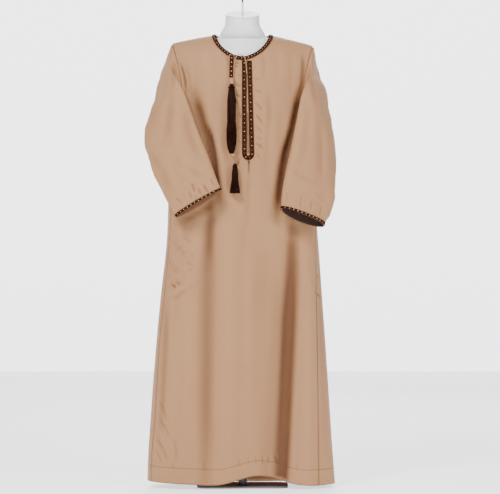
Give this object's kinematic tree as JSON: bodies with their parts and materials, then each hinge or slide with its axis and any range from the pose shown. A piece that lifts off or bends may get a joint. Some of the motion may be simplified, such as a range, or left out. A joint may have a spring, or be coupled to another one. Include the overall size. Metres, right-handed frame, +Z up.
{
  "type": "thobe robe on dress form",
  "caption": "Ankle-length beige thobe robe with patterned brown trims and a two-stage tassel, on a white limbless dress form.",
  "frame": {"origin": "on the floor, under the middle of the dress form's base plate", "axes": "+Z up; the front of the robe faces -Y; +X is towards the wearer's left"},
  "size_m": [0.6236, 0.2996, 1.624],
  "materials": {
    "robe_cloth": "matte",
    "woven_trim": "matte",
    "tassel_silk": "satin",
    "form_skin": "satin",
    "stand_metal": "satin"
  },
  "bodies": {
    "root": {"front_panel": "robe_cloth", "back_panel": "robe_cloth", "sleeve_right": "robe_cloth", "sleeve_left": "robe_cloth", "pocket_right": "robe_cloth", "pocket_left": "robe_cloth", "strap": "robe_cloth", "bar_tack": "robe_cloth", "tassel_bind_upper": "robe_cloth", "tassel_bind_lower": "robe_cloth", "link_cord_right": "robe_cloth", "link_cord_left": "robe_cloth", "neck_trim": "woven_trim", "placket_trim": "woven_trim", "under_placket": "woven_trim", "cuff_trim_right": "woven_trim", "cuff_trim_left": "woven_trim", "strap_trim": "woven_trim", "tassel_upper": "tassel_silk", "tassel_lower": "tassel_silk", "form_torso": "form_skin", "form_cap": "form_skin", "form_finial": "form_skin", "form_pole": "stand_metal", "form_base": "stand_metal"}
  },
  "joints": []
}
